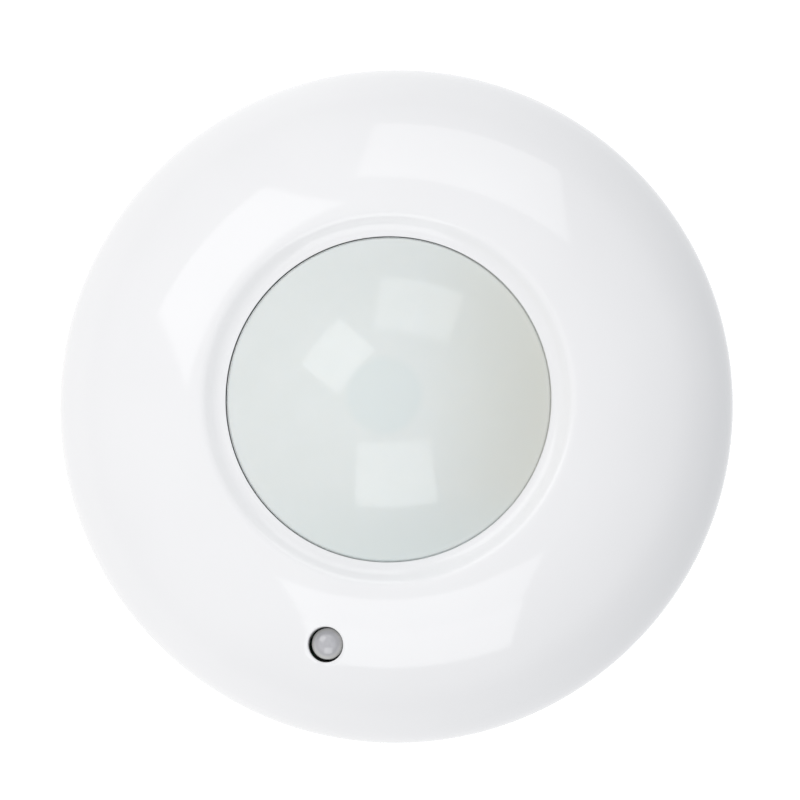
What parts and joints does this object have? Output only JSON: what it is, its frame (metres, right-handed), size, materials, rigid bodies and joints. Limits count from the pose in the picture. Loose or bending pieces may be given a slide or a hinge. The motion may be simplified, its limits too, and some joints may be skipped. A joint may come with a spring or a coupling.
{
  "type": "motion sensor",
  "caption": "Round ceiling motion sensor: domed glossy cover around a milky dome lens, a small status light, and a twist-lock base with screw slots.",
  "frame": {"origin": "middle of the back face, on the ceiling side", "axes": "+Z out of the ceiling along the lens axis, -Y roughly towards the status light, +X to the right as seen facing the lens"},
  "size_m": [0.11, 0.11, 0.0326],
  "materials": {
    "cover_white": "glossy white moulded ABS",
    "lens_milky": "milky translucent HDPE",
    "led_grey": "diffused grey epoxy",
    "housing_white": "white moulded ABS, fine spark texture",
    "holder_black": "matt black ABS",
    "seal_rubber": "soft black foam rubber",
    "board_green": "green solder mask on glass-epoxy laminate",
    "screw_steel": "zinc-plated steel",
    "sensor_metal": "nickel-plated steel can",
    "filter_dark": "dark infrared filter",
    "tinned_leads": "tinned copper",
    "terminal_green": "green nylon",
    "clamp_brass": "brass",
    "plunger_white": "natural acetal",
    "spring_steel": "spring steel wire",
    "switch_black": "black nylon",
    "dip_red": "red nylon",
    "slider_white": "white nylon",
    "button_yellow": "yellow nylon",
    "relay_white": "off-white moulded case",
    "can_aluminium": "drawn aluminium",
    "chip_black": "black moulded epoxy",
    "pin_gold": "gold-plated brass",
    "jumper_blue": "blue nylon",
    "trimmer_blue": "blue nylon",
    "rotor_ivory": "ivory nylon"
  },
  "bodies": {
    "base": {"mounting_base": "housing_white"},
    "head": {"rear_housing": "housing_white", "circuit_board": "board_green", "board_screws": "screw_steel", "lens_holder": "holder_black", "lens_seal": "seal_rubber", "lens": "lens_milky", "lens_ring": "holder_black", "pir_header": "sensor_metal", "pir_can": "sensor_metal", "pir_window": "filter_dark", "pir_leads": "tinned_leads", "status_led": "led_grey", "led_leads": "tinned_leads", "terminal_block": "terminal_green", "terminal_screws": "screw_steel", "terminal_clamps": "clamp_brass", "tamper_switch": "switch_black", "dip_switch_body": "dip_red", "test_switch_body": "switch_black", "relay_case": "relay_white", "relay_pins": "tinned_leads", "capacitor_feet": "switch_black", "capacitors": "can_aluminium", "controller_chip": "chip_black", "chip_leads": "tinned_leads", "voltage_regulator": "chip_black", "regulator_tab": "tinned_leads", "jumper_header": "switch_black", "jumper_pins": "pin_gold", "jumper_cap": "jumper_blue", "chip_passives": "chip_black", "passive_ends": "tinned_leads", "time_trimmer_body": "trimmer_blue", "range_trimmer_body": "trimmer_blue"},
    "cover": {"front_cover": "cover_white"},
    "time_rotor": {"time_trimmer_rotor": "rotor_ivory"},
    "range_rotor": {"range_trimmer_rotor": "rotor_ivory"},
    "test_push": {"test_button": "button_yellow"},
    "tamper": {"tamper_plunger": "plunger_white", "tamper_spring": "spring_steel"},
    "dip_1": {"dip_slider_1": "slider_white"},
    "dip_2": {"dip_slider_2": "slider_white"},
    "dip_3": {"dip_slider_3": "slider_white"},
    "dip_4": {"dip_slider_4": "slider_white"}
  },
  "joints": [
    {"name": "head_twist", "type": "hinge", "parent": "base", "child": "head", "pos_m": [0, 0, 0.006], "axis": [0, 0, 1], "range_deg": [0, 21]},
    {"name": "cover_pull", "type": "slide", "parent": "head", "child": "cover", "axis": [0, 0, 1], "range_m": [0, 0.04]},
    {"name": "time_trimmer_turn", "type": "hinge", "parent": "head", "child": "time_rotor", "pos_m": [0.03656, -0.0098, 0.0145], "axis": [0, 0, 1], "range_deg": [-120, 120]},
    {"name": "range_trimmer_turn", "type": "hinge", "parent": "head", "child": "range_rotor", "pos_m": [0.03728, 0.00657, 0.0145], "axis": [0, 0, 1], "range_deg": [-120, 120]},
    {"name": "test_button_press", "type": "slide", "parent": "head", "child": "test_push", "axis": [0, 0, -1], "range_m": [0, 0.00025], "stiffness_N_per_m": 400, "springref_m": -0.0005},
    {"name": "tamper_slide", "type": "slide", "parent": "head", "child": "tamper", "axis": [0, 0, 1], "range_m": [-0.0014, 0], "deforming": ["tamper_spring"]},
    {"name": "dip_1_slide", "type": "slide", "parent": "head", "child": "dip_1", "axis": [-0.8192, -0.5736, 0], "range_m": [0, 0.0014]},
    {"name": "dip_2_slide", "type": "slide", "parent": "head", "child": "dip_2", "axis": [0.8192, 0.5736, 0], "range_m": [0, 0.0014]},
    {"name": "dip_3_slide", "type": "slide", "parent": "head", "child": "dip_3", "axis": [-0.8192, -0.5736, 0], "range_m": [0, 0.0014]},
    {"name": "dip_4_slide", "type": "slide", "parent": "head", "child": "dip_4", "axis": [-0.8192, -0.5736, 0], "range_m": [0, 0.0014]}
  ],
  "couplings": [
    {"joint": "tamper_slide", "follows": "head_twist", "m_per_rad": -0.00381}
  ]
}
